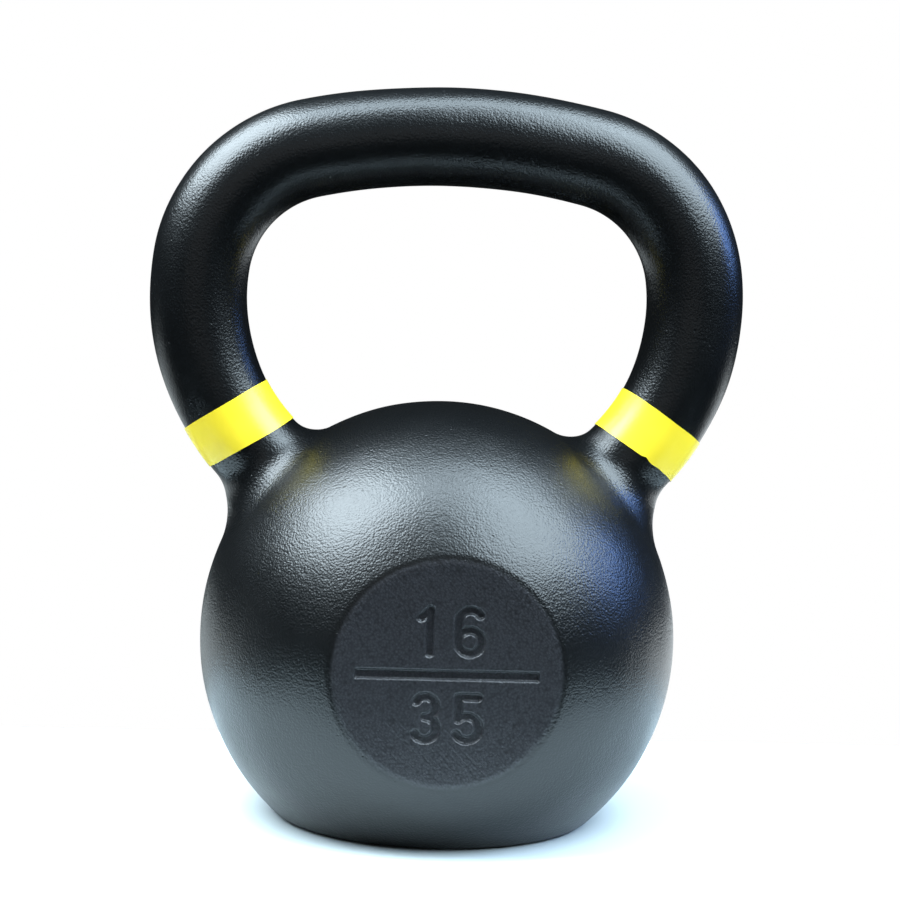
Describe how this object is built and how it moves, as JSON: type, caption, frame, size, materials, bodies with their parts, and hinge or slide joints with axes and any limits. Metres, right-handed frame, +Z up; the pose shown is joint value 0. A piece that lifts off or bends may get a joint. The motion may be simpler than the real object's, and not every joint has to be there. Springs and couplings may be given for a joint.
{
  "type": "kettlebell",
  "caption": "Cast-iron kettlebell: round weight ball with a flat base and a flat numbered facet, a looped round-bar handle and a yellow tape band on each leg.",
  "frame": {"origin": "centre of the flat base, on the floor", "axes": "+Z up; the handle's loop lies in the XZ plane with its grip along X; the flat facet with the numerals faces -Y"},
  "size_m": [0.195, 0.1484, 0.2403],
  "materials": {
    "coated_iron": "satin",
    "yellow_tape": "satin"
  },
  "bodies": {
    "root": {"ball": "coated_iron", "handle": "coated_iron", "left_band": "yellow_tape", "right_band": "yellow_tape"}
  },
  "joints": []
}
